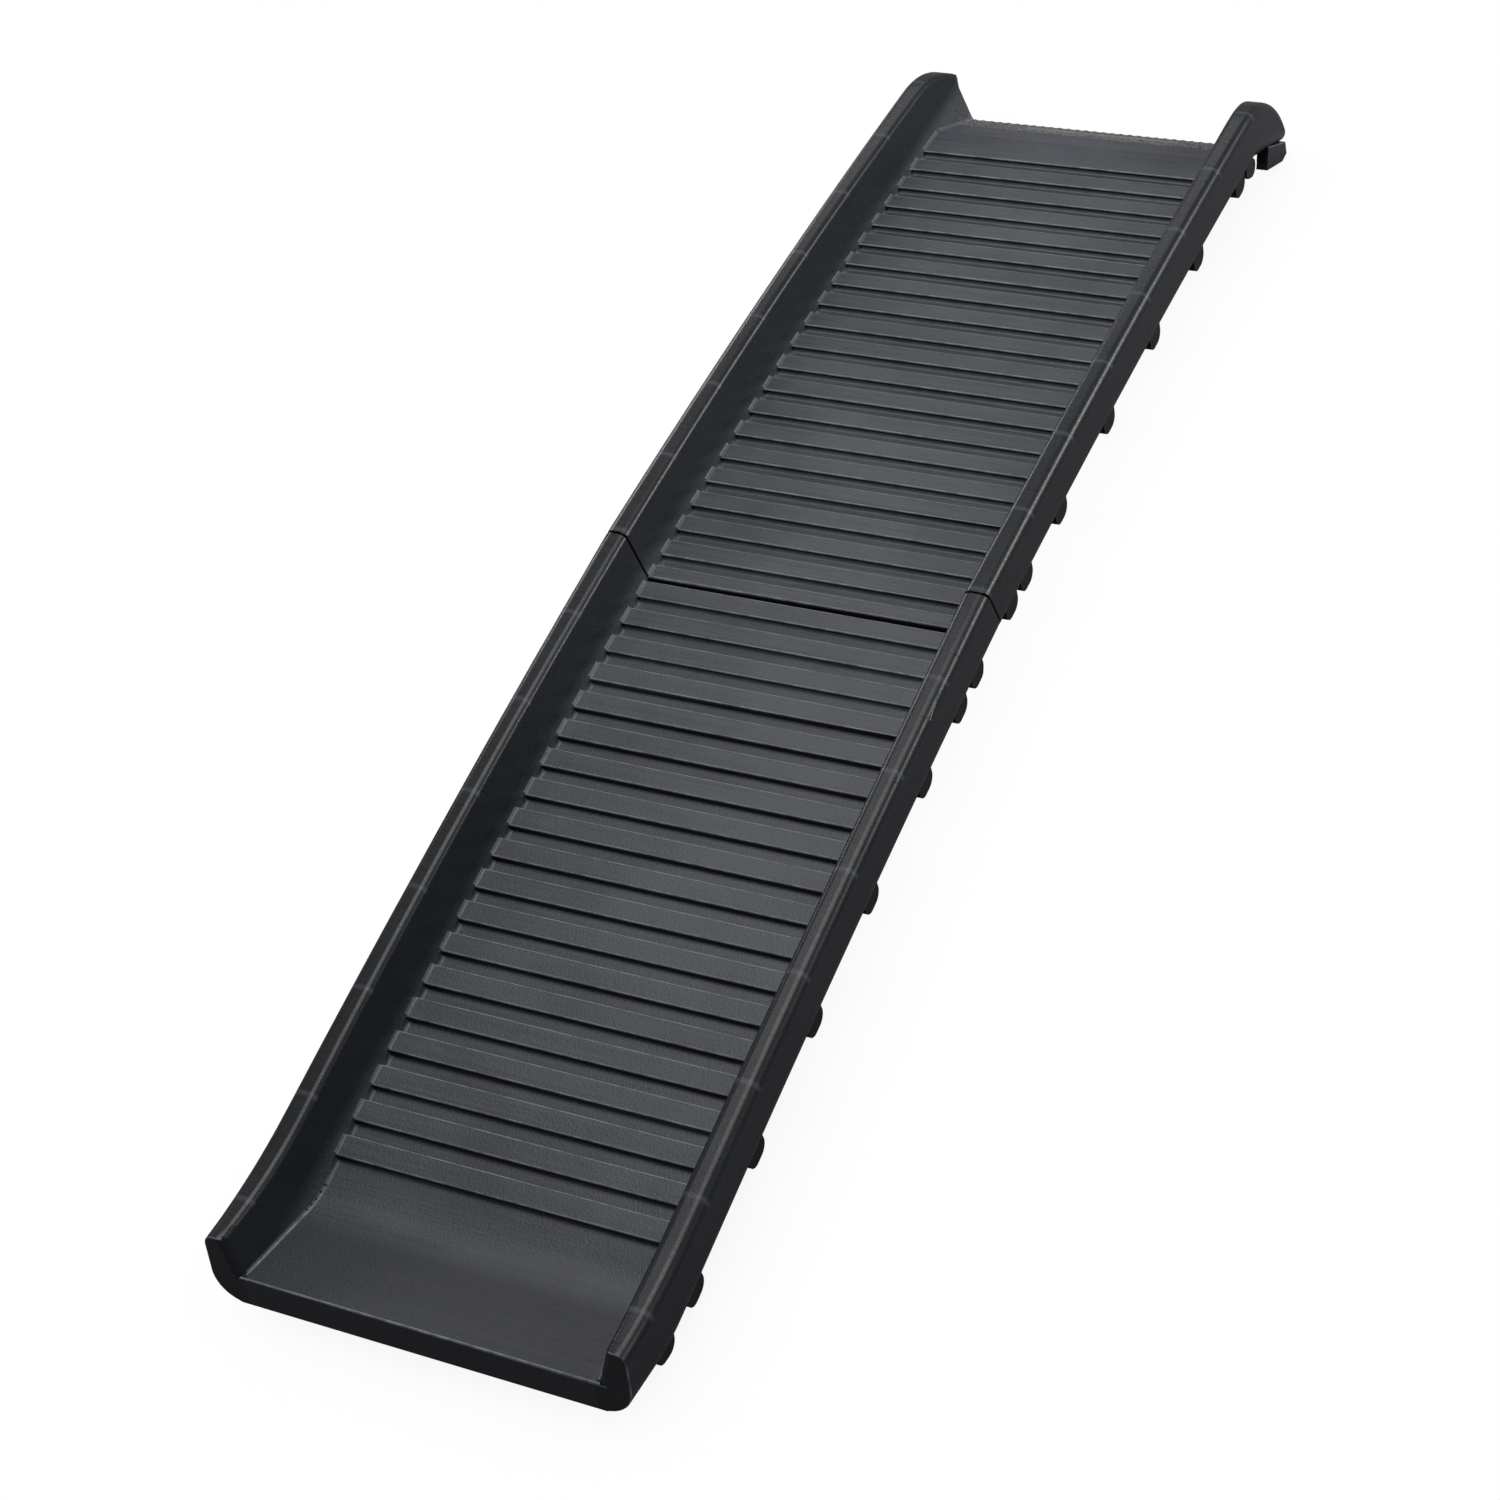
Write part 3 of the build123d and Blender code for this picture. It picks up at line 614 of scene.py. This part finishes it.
def moulded_half(node, body, material):
    """A half with the rounded slat noses, seam edges, end edges and rail tops of a real moulding."""
    rim = Rim(node)
    work = bmesh.new()
    merged(work, node)
    lip = min(vert.co.y for vert in work.verts)
    top = max(vert.co.z for vert in work.verts)
    for mark in (WEAR_AND_HIGHLIGHT, SHADE, ON_RIM):
        work.faces.layers.float.new(mark)
    round_off(work, crosses_deck, NOSE_ROUND, 3)
    round_off(
        work,
        lambda edge: end_face(node, edge.link_faces[0]) != end_face(node, edge.link_faces[1]),
        SEAM_ROUND,
        2,
    )
    work.normal_update()
    shade_recesses(work, rim)
    refine_rims(work, rim)
    shade_seam(work)
    for vert in work.verts:
        vert.co.y = max(vert.co.y, lip)
        vert.co.z = min(vert.co.z, top)
    for edge in work.edges:
        edge.smooth = len(edge.link_faces) == 2 and edge.calc_face_angle() < CORNER_ANGLE
    mesh = bpy.data.meshes.new(f"{node}_moulding")
    work.to_mesh(mesh)
    work.free()
    piece = bpy.data.objects.new(f"{node}_moulding", mesh)
    scene.collection.objects.link(piece)
    dress(piece, material)
    even_shading(piece)
    true_rims(piece, rim)
    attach(piece, body)
    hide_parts(node)


def corner_fillets(node, body, material):
    """The small fillets where the deck meets its walls and where each step rises from its trough."""
    work = bmesh.new()
    merged(work, node)
    tree = BVHTree.FromBMesh(work)
    points, faces = [], []
    for edge in work.edges:
        if len(edge.link_faces) != 2 or edge.calc_face_angle_signed() > -SHARP_ANGLE:
            continue
        wall, deck = sorted(edge.link_faces, key=lambda face: face.normal.z)
        at_wall = abs(wall.normal.x) > 0.8 and abs(abs(middle_of(edge).x) - WALKWAY_HALF) < 0.01
        at_step = wall.normal.y < -0.75 and crosses_deck(edge)
        if not (at_wall or at_step) or deck.normal.z < 0.8 or edge.calc_length() < 0.004:
            continue
        rise = (wall.normal + deck.normal).normalized()
        if tree.ray_cast(middle_of(edge) + rise * RAY_LIFT, UP)[0] is not None:
            continue
        radius = WALL_FILLET if at_wall else STEP_FILLET
        ends = [edge.verts[0].co.copy(), edge.verts[1].co.copy()]
        line = (ends[1] - ends[0]).normalized()
        up = (wall.normal.cross(line)).normalized()
        if up.z < 0:
            up = -up
        inward = deck.normal.cross(line).normalized()
        if inward.dot(wall.normal) < 0:
            inward = -inward
        ends[0] += line * FILLET_END
        ends[1] -= line * FILLET_END
        first = len(points)
        for end in ends:
            points.append(end - rise * ROOT)
            for step in range(FILLET_STEPS + 1):
                turn = math.pi / 2 * step / FILLET_STEPS
                reach = inward * (radius * (1 - math.sin(turn)))
                points.append(end + reach + up * (radius * (1 - math.cos(turn))))
        ring = FILLET_STEPS + 2
        for step in range(ring):
            after = (step + 1) % ring
            faces.append((first + step, first + after, first + ring + after, first + ring + step))
        faces.append(tuple(first + step for step in reversed(range(ring))))
        faces.append(tuple(first + ring + step for step in range(ring)))
    work.free()
    mesh_piece(f"{node}_corner_fillets", points, faces, material, body, FILLET_WEAR)


def mesh_piece(name, points, faces, material, body, wear_and_highlight):
    """A small moulded piece with outward faces, sharp corners and an even share of wear and painted
    highlight.
    """
    work = bmesh.new()
    corners = [work.verts.new(point) for point in points]
    for face in faces:
        work.faces.new([corners[index] for index in face])
    bmesh.ops.recalc_face_normals(work, faces=work.faces)
    mark = work.faces.layers.float.new(WEAR_AND_HIGHLIGHT)
    for face in work.faces:
        face[mark] = wear_and_highlight
        face.smooth = True
    for edge in work.edges:
        edge.smooth = edge.calc_face_angle() < CORNER_ANGLE
    mesh = bpy.data.meshes.new(name)
    work.to_mesh(mesh)
    work.free()
    piece = bpy.data.objects.new(name, mesh)
    scene.collection.objects.link(piece)
    dress(piece, material)
    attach(piece, body)


def nub(points, faces, point, normal, radius, height):
    """Adds one low rounded nub that stands on a surface."""
    side = normal.orthogonal().normalized()
    other = normal.cross(side)
    first = len(points)
    rings = ((1.0, -ROOT), (0.95, 0.45 * height), (0.62, 0.9 * height))
    for share, lift in rings:
        for step in range(ROUND_SIDES):
            turn = math.tau * step / ROUND_SIDES
            spread = side * math.cos(turn) + other * math.sin(turn)
            points.append(point + spread * (radius * share) + normal * lift)
    points.append(point + normal * height)
    points.append(point - normal * ROOT)
    upper_ring = first + 2 * ROUND_SIDES
    tip = first + 3 * ROUND_SIDES
    for step in range(ROUND_SIDES):
        after = (step + 1) % ROUND_SIDES
        for low in (first, first + ROUND_SIDES):
            high = low + ROUND_SIDES
            faces.append((low + step, low + after, high + after, high + step))
        faces.append((upper_ring + step, upper_ring + after, tip))
        faces.append((first + after, first + step, tip + 1))


def grip_nubs(material):
    """Rough nubs on the last strip of the top landing, and a row of larger ones along its edge."""
    tree = surface_of("upper_half")
    draw = random.Random(7)
    points, faces = [], []
    columns = round(2 * WALKWAY_HALF / GRIP_PITCH)
    rows = round((GRIP_ZONE[1] - GRIP_ZONE[0]) / GRIP_PITCH)
    for row in range(rows):
        for column in range(columns):
            x = (column - columns / 2 + 0.5 * (row % 2)) * GRIP_PITCH
            x += draw.uniform(-GRIP_JITTER[0], GRIP_JITTER[0])
            y = GRIP_ZONE[1] - 0.0062 - row * GRIP_PITCH
            y += draw.uniform(-GRIP_JITTER[1], GRIP_JITTER[1])
            radius = draw.uniform(*GRIP_RADIUS)
            height = draw.uniform(*GRIP_HEIGHT)
            thin = draw.random() < 0.12 + 0.5 * (row / rows) ** 2
            on_plate = (
                abs(x - PLATE_PLACE[0]) < PLATE_SIZE[0] / 2 + 0.003
                and abs(y - PLATE_PLACE[1]) < PLATE_SIZE[1] / 2 + 0.002
            )
            if thin or on_plate or abs(x) > WALKWAY_HALF - 0.010:
                continue
            point, normal = drop(tree, x, y)
            if point is not None and normal.z > 0.5:
                nub(points, faces, point, normal, radius, height)
    count = int((2 * WALKWAY_HALF - 0.012) / EDGE_PITCH)
    for column in range(count):
        x = (column - (count - 1) / 2) * EDGE_PITCH + 0.0004
        point, normal = drop(tree, x, GRIP_ZONE[1] - 0.0030)
        if point is not None:
            nub(points, faces, point, normal, EDGE_RADIUS * draw.uniform(0.85, 1.0), EDGE_HEIGHT)
    mesh_piece("top_landing_grip", points, faces, material, "upper", GRIP_WEAR)


def plain_plate(material):
    """The bare raised plate in the middle of the grip strip."""
    tree = surface_of("upper_half")
    point, normal = drop(tree, *PLATE_PLACE)
    side = Vector((1, 0, 0))
    other = normal.cross(side)
    length, depth, height = PLATE_SIZE
    points = []
    for inset, lift in ((0.0, -0.0004), (0.0, 0.5 * height), (PLATE_BEVEL, height)):
        for right, back in ((-1, -1), (1, -1), (1, 1), (-1, 1)):
            reach = side * (right * (length / 2 - inset)) + other * (back * (depth / 2 - inset))
            points.append(point + reach + normal * lift)
    faces = [(3, 2, 1, 0), (8, 9, 10, 11)]
    for ring in (0, 4):
        for step in range(4):
            after = (step + 1) % 4
            faces.append((ring + step, ring + after, ring + 4 + after, ring + 4 + step))
    mesh_piece("top_landing_plate", points, faces, material, "upper", PLATE_WEAR)


def landing_bead(material):
    """The thin raised line round the foot landing, along its walls and its front edge."""
    tree = surface_of("lower_half")

    def foot_of_wall(y):
        reach = 0.148
        while drop(tree, reach, y)[1].z > 0.6:
            reach += 0.0001
        return reach

    sides = []
    for step in range(BEAD_STEPS + 1):
        y = BEAD_SPAN[0] + (BEAD_SPAN[1] - BEAD_SPAN[0]) * step / BEAD_STEPS
        reach = foot_of_wall(y) - BEAD_INSET
        sides.append((reach, y, drop(tree, reach - BEAD_STAND, y)[0].z))
    path = [Vector((-reach, y, height)) for reach, y, height in sides]
    path += [Vector((reach, y, height)) for reach, y, height in reversed(sides)]
    points, faces = [], []
    for index, place in enumerate(path):
        before = path[max(index - 1, 0)]
        after = path[min(index + 1, len(path) - 1)]
        ahead = (after - before).normalized()
        side = ahead.cross(UP).normalized()
        top = side.cross(ahead)
        for step in range(ROUND_SIDES):
            turn = math.tau * step / ROUND_SIDES
            points.append(place + (side * math.cos(turn) + top * math.sin(turn)) * BEAD_RADIUS)
    for ring in range(len(path) - 1):
        for step in range(ROUND_SIDES):
            after = (step + 1) % ROUND_SIDES
            low = ROUND_SIDES * ring
            high = low + ROUND_SIDES
            faces.append((low + step, low + after, high + after, high + step))
    faces.append(tuple(reversed(range(ROUND_SIDES))))
    faces.append(tuple(range(len(points) - ROUND_SIDES, len(points))))
    mesh_piece("foot_landing_bead", points, faces, material, "lower", BEAD_WEAR_AND_HIGHLIGHT)


plastic = moulded_plastic()
rubber = black_rubber()
steel = zinc_steel()

for half, half_body in (("lower_half", "lower"), ("upper_half", "upper")):
    moulded_half(half, half_body, plastic)
    corner_fillets(half, half_body, plastic)
    dress(nodes[half], plastic)

for name, piece in nodes.items():
    if name.endswith("_half"):
        continue
    if "screws" in name or "hinge" in name:
        dress(piece, steel)
    else:
        dress(piece, rubber)

grip_nubs(plastic)
plain_plate(plastic)
landing_bead(plastic)


def studio_floor():
    """A pale floor: plain to other rays, and to the camera a white one that keeps the shadow."""
    shader = Shader("studio_floor")
    path = shader.add("ShaderNodeLightPath")
    pale = shader.add("ShaderNodeBsdfDiffuse")
    shader.put(pale, "Color", linear(FLOOR_BOARD))
    shade = shader.add("ShaderNodeAmbientOcclusion", samples=12)
    shader.put(shade, "Distance", 0.10)
    tint = shader.between(shade.outputs["AO"], 0.0, 1.0, 0.90, 1.0)
    seen = shader.add("ShaderNodeBsdfTransparent")
    shader.put(seen, "Color", tint)
    choice = shader.add("ShaderNodeMixShader")
    shader.put(choice, "Fac", path.outputs["Is Camera Ray"])
    shader.put(choice, 1, pale.outputs["BSDF"])
    shader.put(choice, 2, seen.outputs["BSDF"])
    shader.put(shader.output, "Surface", choice.outputs["Shader"])
    return shader.material


floor_mesh = bpy.data.meshes.new("studio_floor")
floor_mesh.from_pydata([(-6, -6, 0), (6, -6, 0), (6, 6, 0), (-6, 6, 0)], [], [(0, 1, 2, 3)])
floor = bpy.data.objects.new("studio_floor", floor_mesh)
scene.collection.objects.link(floor)
floor_mesh.materials.append(studio_floor())

world = bpy.data.worlds.new("studio")
scene.world = world
world.use_nodes = True
world.node_tree.nodes.clear()
world_out = world.node_tree.nodes.new("ShaderNodeOutputWorld")
ambient = world.node_tree.nodes.new("ShaderNodeBackground")
ambient.inputs["Color"].default_value = (1, 1, 1, 1)
world_path = world.node_tree.nodes.new("ShaderNodeLightPath")
level = world.node_tree.nodes.new("ShaderNodeMapRange")
level.inputs["To Min"].default_value = AMBIENT
level.inputs["To Max"].default_value = 1.0
world.node_tree.links.new(world_path.outputs["Is Camera Ray"], level.inputs["Value"])
world.node_tree.links.new(level.outputs["Result"], ambient.inputs["Strength"])
world.node_tree.links.new(ambient.outputs["Background"], world_out.inputs["Surface"])


def soft_light(name, place, aim, size, power):
    lamp = bpy.data.lights.new(name, "AREA")
    lamp.shape = "RECTANGLE"
    lamp.size = size[0]
    lamp.size_y = size[1]
    lamp.energy = power
    holder = bpy.data.objects.new(name, lamp)
    holder.location = place
    holder.rotation_euler = (Vector(aim) - Vector(place)).to_track_quat("-Z", "Y").to_euler()
    scene.collection.objects.link(holder)


soft_light("overhead", (0.1, 0.65, 2.8), (0, 0.1, 0), (2.2, 1.7), 59)
soft_light("back", (-0.9, 3.2, 1.75), (0, 0.6, 0.1), (2.0, 0.6), 8)
soft_light("back_right", (2.3, 2.0, 1.0), (0.2, 0.2, 0.1), (1.6, 0.6), 46)
soft_light("back_left", (-2.4, 1.9, 0.9), (-0.2, 0.2, 0.1), (1.5, 0.6), 20)
soft_light("front_left", (-1.6, -2.7, 2.0), (0, -0.1, 0.05), (1.4, 1.0), 8)

view = bpy.data.cameras.new("photo_view")
view.sensor_width = 36
view.lens = 74.97
camera = bpy.data.objects.new("photo_view", view)
camera.location = (1.1436, -1.7498, 2.0171)
camera.rotation_euler = (math.radians(43.6143), math.radians(11.2097), math.radians(24.2611))
scene.collection.objects.link(camera)
scene.camera = camera
scene.view_settings.view_transform = "Standard"
